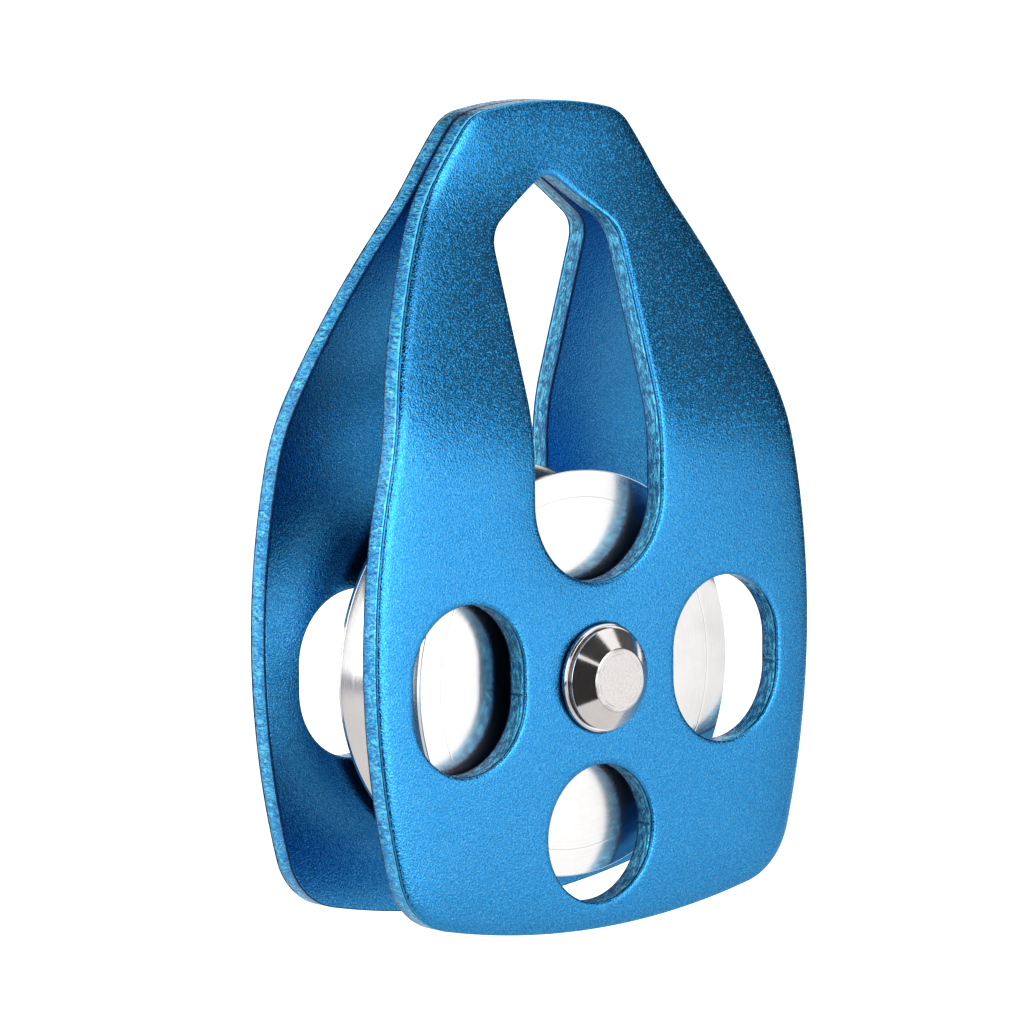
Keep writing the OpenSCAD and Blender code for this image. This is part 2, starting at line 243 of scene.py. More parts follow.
def turned_metal(name, light, dark, rough_lo, rough_hi, ring, ring_scale, scratches=0.35, tint=0.5, aniso=0.0):
    """Metal turned on a lathe: fine rings about the axle's line, faint scratches and a little staining."""
    n = Nodes(name)
    r = n.radius()
    rings = n.noise(ring_scale, 4.0, 0.7, dims="1D", w=r)
    coarse = n.noise(ring_scale * 0.13, 2.0, 0.5, dims="1D", w=r)
    stain = n.noise(85.0, 4.0, 0.6)
    stretch = n.new(
        "ShaderNodeVectorMath", {0: n.coord.outputs["Object"], 1: (1.0, 1.0, 0.07)}, operation="MULTIPLY"
    ).outputs[0]
    scratch = n.noise(5200.0, 3.0, 0.7, vector=stretch)
    colour = n.mix(n.remap(stain, 0.3, 0.7, 0.0, tint), light, dark)
    rough = n.math(
        "ADD", n.remap(rings, 0.3, 0.7, rough_lo, rough_hi), n.remap(stain, 0.45, 0.75, 0.0, (rough_hi - rough_lo) * 0.6)
    )
    height = n.math(
        "ADD",
        n.math("ADD", n.math("MULTIPLY", rings, 1.0), n.math("MULTIPLY", coarse, 1.6)),
        n.math("MULTIPLY", scratch, scratches),
    )
    normal = n.bump(height, 1.0, ring)
    extra = {"Anisotropic": aniso} if aniso else {}
    mat = n.principled(Base_Color=colour, Metallic=1.0, Roughness=rough, Normal=normal, **extra)
    if aniso:
        tangent = n.new("ShaderNodeTangent", direction_type="RADIAL", axis="Y").outputs[0]
        b = next(x for x in n.t.nodes if x.type == "BSDF_PRINCIPLED")
        n.t.links.new(tangent, b.inputs["Tangent"])
    return mat


def axle_steel():
    """Turned stainless steel whose flat ends are duller and carry the swirl marks of the spinning tool."""
    n = Nodes("turned_stainless_spun_end")
    xyz = n.new("ShaderNodeSeparateXYZ", {0: n.coord.outputs["Object"]})
    end = n.remap(n.math("ABSOLUTE", xyz.outputs[1]), 0.020640, 0.020720, 0.0, 1.0)
    r = n.radius()
    rings = n.noise(4200.0, 3.0, 0.65, dims="1D", w=r)
    wide = n.noise(900.0, 2.0, 0.5, dims="1D", w=r)
    cloud = n.noise(330.0, 3.0, 0.6)
    pits = n.noise(2600.0, 3.0, 0.7)
    arcs = n.math("MULTIPLY", n.remap(wide, 0.50, 0.60, 0.0, 1.0), n.remap(cloud, 0.46, 0.60, 0.0, 1.0))
    arcs = n.math("MULTIPLY", arcs, n.remap(r, 0.0022, 0.0034, 0.1, 1.0))
    colour = n.mix(n.remap(cloud, 0.3, 0.7, 0.0, 0.5), rgb(0.74, 0.71, 0.70), rgb(0.62, 0.59, 0.58))
    dull = n.mix(n.remap(pits, 0.3, 0.62, 0.7, 0.0), rgb(0.61, 0.590, 0.583), rgb(0.45, 0.435, 0.43))
    dull = n.mix(n.math("MULTIPLY", arcs, 0.55), dull, rgb(0.36, 0.35, 0.35))
    colour = n.mix(end, colour, dull)
    rough = n.math("ADD", n.remap(rings, 0.3, 0.7, 0.08, 0.14), n.math("MULTIPLY", end, 0.16))
    height = n.math("ADD", n.math("MULTIPLY", rings, 0.000003), n.math("MULTIPLY", n.math("MULTIPLY", pits, end), 0.000010))
    height = n.math("ADD", height, n.math("MULTIPLY", n.math("MULTIPLY", arcs, end), 0.000020))
    normal = n.bump(height, 1.0, 1.0)
    return n.principled(Base_Color=colour, Metallic=1.0, Roughness=rough, Normal=normal)


def moulded(name, light, dark, rough, scale, depth):
    n = Nodes(name)
    fine = n.noise(scale, 3.0, 0.6)
    cloud = n.noise(130.0, 3.0, 0.5)
    colour = n.mix(n.remap(cloud, 0.3, 0.7, 0.0, 1.0), light, dark)
    normal = n.bump(fine, 1.0, depth)
    return n.principled(Base_Color=colour, Roughness=n.remap(fine, 0.3, 0.7, rough - 0.06, rough + 0.08), Normal=normal)


MAT = {
    "face": anodised_face("anodised_blue_blasted", 1.0, 0.105, 0.55, 0.045),
    # painted shade: the plates' inner faces get the same blue finish, coloured darker
    "inner": anodised_face("anodised_blue_blasted_inner_painted_shade", 0.76, 0.17, 0.26, 0.0),
    "edge": anodised_edge("anodised_blue_sheared", 1.0, (1.0, 0.42, 1.0), 0.60),
    # painted shade: the walls of the holes and slot are coloured darker than the outer edge
    "hole": anodised_edge("anodised_blue_punched_painted_shade", 0.50, (0.45, 1.5, 1.0), 0.52),
    "alloy": turned_metal(
        "turned_aluminium", rgb(0.80, 0.787, 0.780), rgb(0.67, 0.657, 0.652), 0.13, 0.19, 0.0000022, 3600.0, 0.8, 0.8, 0.6
    ),
    "steel": turned_metal(
        "turned_stainless", rgb(0.74, 0.71, 0.70), rgb(0.62, 0.59, 0.58), 0.09, 0.15, 0.0000030, 5200.0, 0.5, 0.5, 0.0
    ),
    "axle": axle_steel(),
    "bearing": turned_metal(
        "ground_bearing_steel", rgb(0.70, 0.70, 0.72), rgb(0.58, 0.58, 0.60), 0.08, 0.14, 0.0000010, 9000.0, 0.2, 0.3
    ),
    "spring": turned_metal(
        "phosphated_spring_steel", rgb(0.10, 0.10, 0.105), rgb(0.05, 0.05, 0.055), 0.36, 0.48, 0.0000030, 4200.0, 0.8, 0.8
    ),
    "bronze": turned_metal(
        "sintered_bronze", rgb(0.58, 0.36, 0.16), rgb(0.40, 0.24, 0.10), 0.30, 0.42, 0.0000030, 5200.0, 1.2, 0.8
    ),
    "nylon": moulded("moulded_nylon", rgb(0.62, 0.55, 0.38), rgb(0.52, 0.45, 0.30), 0.42, 2600.0, 0.000006),
    "rubber": moulded("moulded_rubber", rgb(0.020, 0.020, 0.022), rgb(0.035, 0.035, 0.037), 0.55, 3400.0, 0.000010),
}

# ---------------------------------------------------------------- plate geometry, in millimetres
T, HALF_W, SIDE_R, SIDE_Z = 4.0, 46.3, 132.0, 6.0
BOTTOM, BOTTOM_R, BOTTOM_CR = 40.9, 150.0, 12.0
TOP, TOP_R, TOP_CR = 92.2, 65.0, 8.0
Y_IN, Y_OUT, Y_MEET = 12.2, 16.2, 0.1
BEND1, BEND2, R1, R2 = 40.8, 77.4, 34.0, 22.0
SLOT_W, SLOT_LOW, SLOT_SH, SLOT_PK, SLOT_SR, SLOT_PR = 13.6, 29.0, 71.7, 81.0, 6.0, 4.0
LOW_R, LOW_Z = 11.25, -25.4
SIDE_HR, SIDE_HX, SIDE_HZ, SIDE_HS = 11.6, 27.6, 0.5, 4.2
BUSH_R = 7.5


def arc(c, r, a0, a1, n):
    a = np.radians(np.linspace(a0, a1, n + 1))
    return np.c_[c[0] + r * np.cos(a), c[1] + r * np.sin(a)]


def meet(c1, r1, c2, r2, up):
    c1, c2 = np.array(c1, float), np.array(c2, float)
    d = np.hypot(*(c2 - c1))
    a = (r1 * r1 - r2 * r2 + d * d) / (2 * d)
    h = math.sqrt(r1 * r1 - a * a)
    u = (c2 - c1) / d
    p = c1 + a * u
    q1, q2 = p + h * np.array([u[1], -u[0]]), p - h * np.array([u[1], -u[0]])
    return q1 if (q1[1] > q2[1]) == up else q2


def heading(a, b):
    return math.degrees(math.atan2(b[1] - a[1], b[0] - a[0]))


def rounded(p0, p1, p2, r, n):
    p0, p1, p2 = (np.array(p, float) for p in (p0, p1, p2))
    a, b = math.radians(heading(p1, p0)), math.radians(heading(p1, p2))
    d = (math.degrees(b - a) + 540) % 360 - 180
    half = abs(d) / 2
    mid = math.atan2(math.sin(a) + math.sin(b), math.cos(a) + math.cos(b))
    c = p1 + np.array([math.cos(mid), math.sin(mid)]) * r / math.sin(math.radians(half))
    s, span, turn = math.degrees(mid) + 180, 90 - half, 1 if d > 0 else -1
    ang = np.radians([s + turn * span * (1 - 2 * i / n) for i in range(n + 1)])
    return np.c_[c[0] + r * np.cos(ang), c[1] + r * np.sin(ang)]


def outline():
    cs, cl, ct = [HALF_W - SIDE_R, SIDE_Z], [0, BOTTOM_R - BOTTOM], [0, TOP - TOP_R]
    fl = meet(cs, SIDE_R - BOTTOM_CR, cl, BOTTOM_R - BOTTOM_CR, False)
    ft = meet(cs, SIDE_R - TOP_CR, ct, TOP_R - TOP_CR, True)
    half = np.vstack([
        arc(cl, BOTTOM_R, -90, heading(cl, fl), 200),
        arc(fl, BOTTOM_CR, heading(cl, fl), heading(cs, fl), 120),
        arc(cs, SIDE_R, heading(cs, fl), heading(cs, ft), 700),
        arc(ft, TOP_CR, heading(cs, ft), heading(ct, ft), 100),
        arc(ct, TOP_R, heading(ct, ft), 90, 120),
    ])
    return np.vstack([half, half[::-1] * [-1, 1]])


def slot_line():
    return np.vstack([
        arc([0, SLOT_LOW], SLOT_W, 180, 360, 300),
        rounded([SLOT_W, SLOT_LOW], [SLOT_W, SLOT_SH], [0, SLOT_PK], SLOT_SR, 60),
        rounded([SLOT_W, SLOT_SH], [0, SLOT_PK], [-SLOT_W, SLOT_SH], SLOT_PR, 60),
        rounded([0, SLOT_PK], [-SLOT_W, SLOT_SH], [-SLOT_W, SLOT_LOW], SLOT_SR, 60),
    ])


def side_hole(sign):
    x = sign * SIDE_HX
    return np.vstack([
        arc([x, SIDE_HZ + SIDE_HS / 2], SIDE_HR, 0, 180, 240),
        arc([x, SIDE_HZ - SIDE_HS / 2], SIDE_HR, 180, 360, 240),
    ])


def resample(poly, step, ccw):
    """Even points along a closed line, with the normals that point into the plate. The line runs so that the plate is on its left."""
    p = np.array([q for i, q in enumerate(poly) if np.hypot(*(q - poly[i - 1])) > 1e-4])
    area = np.sum(p[:, 0] * np.roll(p[:, 1], -1) - np.roll(p[:, 0], -1) * p[:, 1])
    if (area > 0) != ccw:
        p = p[::-1]
    q = np.vstack([p, p[:1]])
    s = np.r_[0, np.cumsum(np.hypot(*np.diff(q, axis=0).T))]
    length = s[-1]
    n = int(round(length / step))

    def at(t):
        t = np.mod(t, length)
        return np.c_[np.interp(t, s, q[:, 0]), np.interp(t, s, q[:, 1])]

    t = np.arange(n) * length / n
    tangent = at(t + 0.12) - at(t - 0.12)
    tangent /= np.hypot(*tangent.T)[:, None]
    return at(t), np.c_[-tangent[:, 1], tangent[:, 0]], t


LEAN = math.degrees(math.atan((Y_IN - Y_MEET) / (BEND2 - BEND1)))
SHIFT = T * math.tan(math.radians(LEAN / 2))
OUTER = np.vstack([
    [[Y_OUT, -80]],
    rounded([Y_OUT, 0], [Y_OUT, BEND1], [Y_MEET + T, BEND2], R1 + T, 80),
    rounded([Y_OUT, BEND1], [Y_MEET + T, BEND2], [Y_MEET + T, 200], R2, 80),
    [[Y_MEET + T, 200]],
])
INNER = np.vstack([
    [[Y_IN, -80]],
    rounded([Y_IN, 0], [Y_IN, BEND1 - SHIFT], [Y_MEET, BEND2 - SHIFT], R1, 80),
    rounded([Y_IN, BEND1 - SHIFT], [Y_MEET, BEND2 - SHIFT], [Y_MEET, 200], R2 + T, 80),
    [[Y_MEET, 200]],
])


def profile_y(profile, z):
    return np.interp(z, profile[:, 1], profile[:, 0])


def profile_tilt(profile, z):
    slope = np.arctan2(-np.diff(profile[:, 0]), np.diff(profile[:, 1]))
    mid = (profile[1:, 1] + profile[:-1, 1]) / 2
    return np.interp(z, mid, slope)


def smooth_noise(n, spacing, width, rng):
    """Periodic noise of unit height along a closed line; width is its correlation length."""
    v = rng.standard_normal(n)
    k = np.fft.rfftfreq(n, spacing)
    v = np.fft.irfft(np.fft.rfft(v) * np.exp(-((k * width) ** 2) * 4), n)
    return v / max(v.std(), 1e-9)


def inside(points, loops):
    """Even-odd test of 2-D points against closed loops."""
    odd = np.zeros(len(points), bool)
    x, z = points[:, 0], points[:, 1]
    for l in loops:
        a, b = l, np.roll(l, -1, axis=0)
        for (x0, z0), (x1, z1) in zip(a, b):
            if z0 == z1:
                continue
            cross = (z0 > z) != (z1 > z)
            odd ^= cross & (x < (x1 - x0) * (z - z0) / (z1 - z0) + x0)
    return odd


def fill(loops, step):
    """Triangles between closed loops, with a triangular grid of inner points. Returns all points, of which the loops' own come first, and the triangles."""
    pts = np.vstack(loops)
    edges, start = [], 0
    for l in loops:
        k = len(l)
        edges += [(start + i, start + (i + 1) % k) for i in range(k)]
        start += k
    lo, hi = pts.min(0), pts.max(0)
    rows = np.arange(lo[1], hi[1], step * 0.866)
    grid = np.vstack([
        np.c_[np.arange(lo[0] + (step / 2 if i % 2 else 0), hi[0], step), np.full(len(np.arange(lo[0] + (step / 2 if i % 2 else 0), hi[0], step)), z)]
        for i, z in enumerate(rows)
    ])
    grid = grid[inside(grid, loops)]
    tree = kdtree.KDTree(len(pts))
    for i, p in enumerate(pts):
        tree.insert((p[0], p[1], 0), i)
    tree.balance()
    near = np.array([tree.find((p[0], p[1], 0))[2] for p in grid])
    grid = grid[near > step * 0.62]
    allp = np.vstack([pts, grid])
    v, _, f, orig, _, _ = delaunay_2d_cdt([Vector(p) for p in allp], edges, [], 0, 1e-7)
    if len(v) != len(allp):
        raise RuntimeError("the plate's fill merged points")
    tri = np.array([list(t) for t in f])
    back = np.array([o[0] for o in orig])
    tri = back[tri]
    tri = tri[inside(allp[tri].mean(1), loops)]
    return allp, tri


def to_mesh(name, verts, faces, mats, face_mats, normals=None, uvs=None):
    me = bpy.data.meshes.new(name)
    me.from_pydata([tuple(v) for v in np.asarray(verts) * MM], [], [tuple(int(i) for i in f) for f in faces])
    me.validate()
    for m in mats:
        me.materials.append(m)
    me.polygons.foreach_set("material_index", np.array(face_mats, np.int32))
    me.polygons.foreach_set("use_smooth", np.ones(len(me.polygons), bool))
    if uvs is not None:
        layer = me.uv_layers.new(name="UVMap")
        idx = np.zeros(len(me.loops), np.int32)
        me.loops.foreach_get("vertex_index", idx)
        layer.data.foreach_set("uv", np.asarray(uvs, np.float32)[idx].ravel())
    if normals is not None:
        me.normals_split_custom_set_from_vertices([tuple(v) for v in normals])
    me.update()
    ob = bpy.data.objects.new(name, me)
    scene.collection.objects.link(ob)
    return ob


def vertex_normals(verts, faces):
    """Normals of a mesh of quads and triangles, each face weighted by its area."""
    v = np.asarray(verts, float)
    out = np.zeros_like(v)
    for size in (3, 4):
        f = np.array([q for q in faces if len(q) == size])
        if not len(f):
            continue
        p = v[f]
        n = np.cross(p[:, 1] - p[:, 0], p[:, 2] - p[:, 0]) if size == 3 else np.cross(p[:, 2] - p[:, 0], p[:, 3] - p[:, 1])
        for k in range(size):
            for axis in range(3):
                out[:, axis] += np.bincount(f[:, k], n[:, axis], len(v))
    return out / np.maximum(np.linalg.norm(out, axis=1), 1e-12)[:, None]


def crown(points, loops, amp):
    """How far the outer face leans towards its edges at each point: the sum over the edges of a tilt that fades with distance."""
    out = np.zeros((len(points), 2))
    for line, (a, reach) in zip(loops, amp):
        if a == 0:
            continue
        tree = kdtree.KDTree(len(line))
        for i, q in enumerate(line):
            tree.insert((q[0], q[1], 0), i)
        tree.balance()
        for i, q in enumerate(points):
            co, k, d = tree.find((q[0], q[1], 0))
            if d < reach * 5:
                to = line[k] - q
                # near the line itself the direction comes from the line's own normal
                if d < 0.3:
                    t = line[(k + 1) % len(line)] - line[k - 1]
                    to = np.array([t[1], -t[0]])
                out[i] += to / max(np.hypot(*to), 1e-9) * a * math.exp(-d / reach)
    return out


# (distance in from the wall, depth below the outer face): the edge rolls over where the punch pressed the plate
ROLL_OUT = [(2.0, 0.0), (1.55, 0.010), (1.15, 0.035), (0.80, 0.080), (0.50, 0.140), (0.27, 0.205), (0.11, 0.275), (0.03, 0.36), (0.0, 0.48)]
ROLL_HOLE = [(1.1, 0.0), (0.85, 0.006), (0.62, 0.020), (0.43, 0.045), (0.27, 0.085), (0.14, 0.14), (0.05, 0.21), (0.01, 0.29), (0.0, 0.40)]


def plate(name, sign):
    """One side plate. sign is +1 for the rear plate and -1 for the front one."""
    rng = np.random.default_rng(11 if sign > 0 else 7)
    step = 0.42
    lines = [
        (outline(), True, ROLL_OUT), (slot_line(), False, ROLL_HOLE),
        (side_hole(1), False, ROLL_HOLE), (side_hole(-1), False, ROLL_HOLE),
        (arc([0, LOW_Z], LOW_R, 0, 360, 500)[:-1], False, ROLL_HOLE),
        (arc([0, 0], BUSH_R, 0, 360, 400)[:-1], False, [(0.5, 0.0), (0.25, 0.03), (0.08, 0.12), (0.0, 0.3)]),
    ]
    verts, faces, fmats, uvs, analytic = [], [], [], [], {}

    def place(xz, depth):
        z = xz[:, 1]
        yo, yi = profile_y(OUTER, z), profile_y(INNER, z)
        y = yo + (yi - yo) * depth / T
        return np.c_[xz[:, 0], sign * y, z]

    def face_normal(z, outer):
        # the bends blend softly into the flats
        tilt = np.mean([profile_tilt(OUTER if outer else INNER, z + d) for d in np.linspace(-6.5, 6.5, 14)], axis=0)
        s = 1 if outer else -1
        return np.c_[np.zeros(len(z)), s * sign * np.cos(tilt), s * np.sin(tilt)]

    outer_loops, inner_loops, outer_ids, inner_ids = [], [], [], []
    count = 0
    crown_amp = [(0.125, 5.0), (0.085, 4.0), (0.03, 2.2), (0.03, 2.2), (0.03, 2.2), (0.0, 1.0)]
    base_lines = [resample(poly, step, ccw)[0] for poly, ccw, _ in lines]
    crowns, own_line = [], []
    for number, (poly, ccw, roll) in enumerate(lines):
        p, nin, s = resample(poly, step, ccw)
        k = len(p)
        sp = s[1] - s[0]
        bush = roll[0][0] == 0.5
        amp = 0.0 if bush else 1.0
        jag1 = smooth_noise(k, sp, 0.5, rng) * amp
        jag2 = smooth_noise(k, sp, 1.6, rng) * amp
        jag3 = smooth_noise(k, sp, 0.35, rng) * amp
        end = roll[-1][1]
        rings = [(np.full(k, d), np.full(k, h), 0) for d, h in roll]
        # the torn line under the roll, then the sheared wall and a small break at the inner face
        crease = end + 0.12 + 0.030 * jag1 + 0.02 * jag2
        rings.append((0.125 + 0.035 * jag3, crease, 1))
        rings.append((0.012 + 0.010 * jag1, crease + 0.14, 1))
        rings.append((np.full(k, 0.008), crease + 0.42, 1))
        for h in np.linspace(end + 0.95, T - 0.42, 5):
            wob = 0.020 * jag1 + 0.014 * smooth_noise(k, sp, 0.45, rng) * amp
            rings.append((np.clip(0.022 + wob, 0.0, 0.12), np.full(k, h), 1))
        rings.append((np.full(k, 0.02), np.full(k, T - 0.2), 1))
        rings.append((np.full(k, 0.07), np.full(k, T - 0.07), 1))
        rings.append((np.full(k, 0.2), np.full(k, T - 0.012), 1))
        rings.append((np.full(k, 0.42), np.full(k, T), 0))
        base = count
        for j, (d, h, _) in enumerate(rings):
            xz = p + nin * d[:, None]
            verts.append(place(xz, h))
            uvs.append(np.c_[s, h])
            fade = np.clip(1 - h / 0.5, 0, 1)[:, None]
            crowns.append(crown(xz, base_lines, crown_amp) * fade)
            count += k
        i = np.arange(k)
        for j in range(len(rings) - 1):
            a, b = base + j * k, base + (j + 1) * k
            quad = np.c_[a + i, b + i, b + (i + 1) % k, a + (i + 1) % k]
            if sign > 0:
                quad = quad[:, ::-1]
            faces.append(quad)
            m = (1 if number == 0 else 3) if (rings[j][2] or rings[j + 1][2]) and j < len(rings) - 2 else (0 if j < len(roll) else 2)
            fmats += [m] * k
        outer_ids.append(base + i)
        inner_ids.append(base + (len(rings) - 1) * k + i)
        outer_loops.append(p + nin * rings[0][0][:, None])
        inner_loops.append(p + nin * rings[-1][0][:, None])
    quads = [tuple(q) for block in faces for q in block]
    for loops, ids, outer in ((outer_loops, outer_ids, True), (inner_loops, inner_ids, False)):
        pts, tri = fill(loops, 1.55)
        own = np.concatenate(ids)
        extra = pts[len(own):]
        depth = np.full(len(extra), 0.0 if outer else T)
        verts.append(place(extra, depth))
        uvs.append(extra)
        crowns.append(crown(extra, base_lines, crown_amp) * (1.0 if outer else 0.0))
        index = np.concatenate([own, count + np.arange(len(extra))])
        count += len(extra)
        t = index[tri]
        xz = pts[tri]
        area = (xz[:, 1, 0] - xz[:, 0, 0]) * (xz[:, 2, 1] - xz[:, 0, 1]) - (xz[:, 2, 0] - xz[:, 0, 0]) * (xz[:, 1, 1] - xz[:, 0, 1])
        # seen from +Y the XZ plane is mirrored, so a triangle that turns left there faces -Y
        want = (sign > 0) == outer
        flip = (area > 0) == want
        t[flip] = t[flip][:, ::-1]
        quads += [tuple(x) for x in t]
        fmats += [0 if outer else 2] * len(t)
        z = np.concatenate([pts[:, 1]])
        analytic[outer] = (index, face_normal(z, outer))
    verts = np.vstack(verts)
    normals = vertex_normals(verts, quads)
    for index, nrm in analytic.values():
        normals[index] = nrm
    # the press leaves the faces slightly crowned towards their edges
    bend = np.vstack(crowns)
    normals[:, 0] += bend[:, 0]
    normals[:, 2] += bend[:, 1]
    normals /= np.linalg.norm(normals, axis=1)[:, None]
    ob = to_mesh(name, verts, quads, [MAT["face"], MAT["edge"], MAT["inner"], MAT["hole"]], fmats, normals, np.vstack(uvs))
    return ob


# ---------------------------------------------------------------- turned pieces


def lathe(name, corners, mat, segments=160, mirror=False, close=True):
    """A turned piece about the Y axis. corners are (radius, y, fillet radius) in millimetres, in order round the section."""
    pts, nrm = [], []
    k = len(corners)
    c = np.array([[q[0], q[1]] for q in corners], float)
    area = np.sum(c[:, 0] * np.roll(c[:, 1], -1) - np.roll(c[:, 0], -1) * c[:, 1])
    if area < 0:
        corners = corners[::-1]
        c = c[::-1]
    for i in range(k):
        p0, p1, p2 = c[i - 1], c[i], c[(i + 1) % k]
        f = corners[i][2] if len(corners[i]) > 2 else 0.05
        d0, d1 = p1 - p0, p2 - p1
        l0, l1 = np.hypot(*d0), np.hypot(*d1)
        d0, d1 = d0 / l0, d1 / l1
        n0, n1 = np.array([d0[1], -d0[0]]), np.array([d1[1], -d1[0]])
        if p1[0] < 1e-6:
            pts.append(p1)
            nrm.append(n0 if abs(n0[1]) > 0.9 else n1)
            continue
        ang = math.atan2(d0[0] * d1[1] - d0[1] * d1[0], float(np.dot(d0, d1)))
        if abs(ang) < math.radians(1.0) or f <= 0:
            pts.append(p1)
            nrm.append((n0 + n1) / np.linalg.norm(n0 + n1))
            continue
        cut = min(f * math.tan(abs(ang) / 2), l0 * 0.45, l1 * 0.45)
        f = cut / math.tan(abs(ang) / 2)
        steps = max(2, int(math.ceil(abs(ang) / math.radians(22))))
        start = p1 - d0 * cut
        centre = start + (np.array([-d0[1], d0[0]]) if ang > 0 else np.array([d0[1], -d0[0]])) * f
        for j in range(steps + 1):
            a = ang * j / steps
            ca, sa = math.cos(a), math.sin(a)
            v = start - centre
            pts.append(centre + np.array([v[0] * ca - v[1] * sa, v[0] * sa + v[1] * ca]))
            nrm.append(np.array([n0[0] * ca - n0[1] * sa, n0[0] * sa + n0[1] * ca]))
    pts, nrm = np.array(pts), np.array(nrm)
    th = np.linspace(0, 2 * math.pi, segments, endpoint=False)
    verts, normals, ids = [], [], []
    sg = -1.0 if mirror else 1.0
    count = 0
    for p, n in zip(pts, nrm):
        if p[0] < 1e-6:
            verts.append([[0, sg * p[1], 0]])
            normals.append([[0, sg * np.sign(n[1]) if abs(n[1]) > 1e-6 else sg, 0]])
            ids.append(np.full(segments, count))
            count += 1
        else:
            verts.append(np.c_[p[0] * np.cos(th), np.full(segments, sg * p[1]), p[0] * np.sin(th)])
            normals.append(np.c_[n[0] * np.cos(th), np.full(segments, sg * n[1]), n[0] * np.sin(th)])
            ids.append(count + np.arange(segments))
            count += segments
    faces = []
    m = len(pts)
    for i in range(m):
        a, b = ids[i], ids[(i + 1) % m]
        one_a, one_b = a[0] == a[1], b[0] == b[1]
        if one_a and one_b:
            continue
        for s in range(segments):
            t = (s + 1) % segments
            if one_a:
                f = (a[0], b[t], b[s])
            elif one_b:
                f = (a[s], a[t], b[0])
            else:
                f = (a[s], a[t], b[t], b[s])
            faces.append(f if mirror else f[::-1])
    verts, normals = np.vstack(verts), np.vstack(normals)
    # turn the faces the way of the given normals
    f0 = faces[len(faces) // 2]
    p = verts[list(f0)]
    g = np.cross(p[1] - p[0], p[2] - p[0])
    if np.dot(g, normals[f0[0]]) < 0:
        faces = [f[::-1] for f in faces]
    return to_mesh(name, verts, faces, [mat], [0] * len(faces), normals)


Y_WASH, WASH_T, HEAD_H = Y_OUT + 0.1, 1.25, 3.2
Y_HEAD = Y_WASH + WASH_T
HEAD_R, FLAT_R = 8.2, 5.1


def head_section(r_in):
    y = Y_HEAD
    return [
        (r_in, y, 0.05), (HEAD_R - 0.6, y, 0.1), (HEAD_R - 0.6, y + 0.4, 0.08), (HEAD_R, y + 0.4, 0.12),
        (HEAD_R, y + 0.75, 0.16), (FLAT_R + 0.15, y + HEAD_H - 0.1, 0.12), (FLAT_R - 0.1, y + HEAD_H, 0.10),
    ]


def make_axle():
    pin = [(0.0, -(Y_HEAD + HEAD_H))]
    h = head_section(0)[::-1]
    pin += [(r, -y, f) for r, y, f in h[:-1]]
    pin += [
        (6.0, -Y_HEAD, 0.08), (6.0, Y_HEAD, 0.15), (3.5, Y_HEAD, 0.1),
        (3.5, Y_HEAD + HEAD_H, 0.12), (0.0, Y_HEAD + HEAD_H),
    ]
    pin = [(p[0], p[1], p[2] if len(p) > 2 else 0.0) for p in pin]
    a = lathe("axle_pin_detailed", pin, MAT["axle"], 224)
    r = head_section(3.5) + [(3.5, Y_HEAD + HEAD_H, 0.12)]
    b = lathe("rear_axle_head_detailed", r, MAT["axle"], 224)
    return a, b


def washer(mirror):
    c = 0.3
    w = [
        (6.0, Y_WASH, 0.08), (8.8 - c, Y_WASH, 0.15), (8.8, Y_WASH + c, 0.2), (8.8, Y_WASH + WASH_T - c, 0.2),
        (8.8 - c, Y_WASH + WASH_T, 0.15), (6.0, Y_WASH + WASH_T, 0.08),
    ]
    return lathe(("front" if mirror else "rear") + "_outer_washer_detailed", w, MAT["steel"], 192, mirror)


def bush(mirror):
    w = [
        (6.05, 11.2, 0.15), (10.0, 11.2, 0.2), (10.0, 12.2, 0.12), (7.5, 12.2, 0.05), (7.5, 16.2, 0.2), (6.05, 16.2, 0.15),
    ]
    return lathe(("front" if mirror else "rear") + "_plate_bush_detailed", w, MAT["bronze"], 128, mirror)


def spacer(mirror):
    w = [(6.0, 8.0, 0.1), (8.3, 8.0, 0.15), (8.3, 10.8, 0.12), (8.0, 11.1, 0.12), (6.0, 11.1, 0.1)]
    return lathe(("front" if mirror else "rear") + "_inner_spacer_detailed", w, MAT["steel"], 128, mirror)


def sheave():
    half, root, rim, R, bore, line = 10.25, 28.5, 0.8, 33.0, 14.0, 28.7
    gh, depth = half - rim, R - root
    gr = (gh * gh + depth * depth) / (2 * depth)
    centre = root + gr
    a0 = math.degrees(math.asin(gh / gr))
    groove = []
    for a in np.linspace(-a0, a0, 61):
        groove.append((centre - gr * math.cos(math.radians(a)), gr * math.sin(math.radians(a)), 0.0))
    groove[0] = (R, -gh, 0.22)
    groove[-1] = (R, gh, 0.22)
    low = [
        (bore, -half, 0.15), (line - 0.13, -half, 0.10), (line, -half + 0.012, 0.10), (line + 0.13, -half, 0.10),
        (R - 0.12, -half, 0.08), (R, -half + 0.12, 0.08),
    ]
    high = [(r, -y, f) for r, y, f in low[::-1]]
    g0, g1 = 8.0, 9.2
    gr_out = 14.7
    inner = [
        (bore, g1, 0.04), (gr_out, g1, 0.06), (gr_out, g0, 0.06), (bore, g0, 0.04),
        (bore, -g0, 0.04), (gr_out, -g0, 0.06), (gr_out, -g1, 0.06), (bore, -g1, 0.04),
    ]
    return lathe("sheave_detailed", low + groove + high + inner, MAT["alloy"], 320)


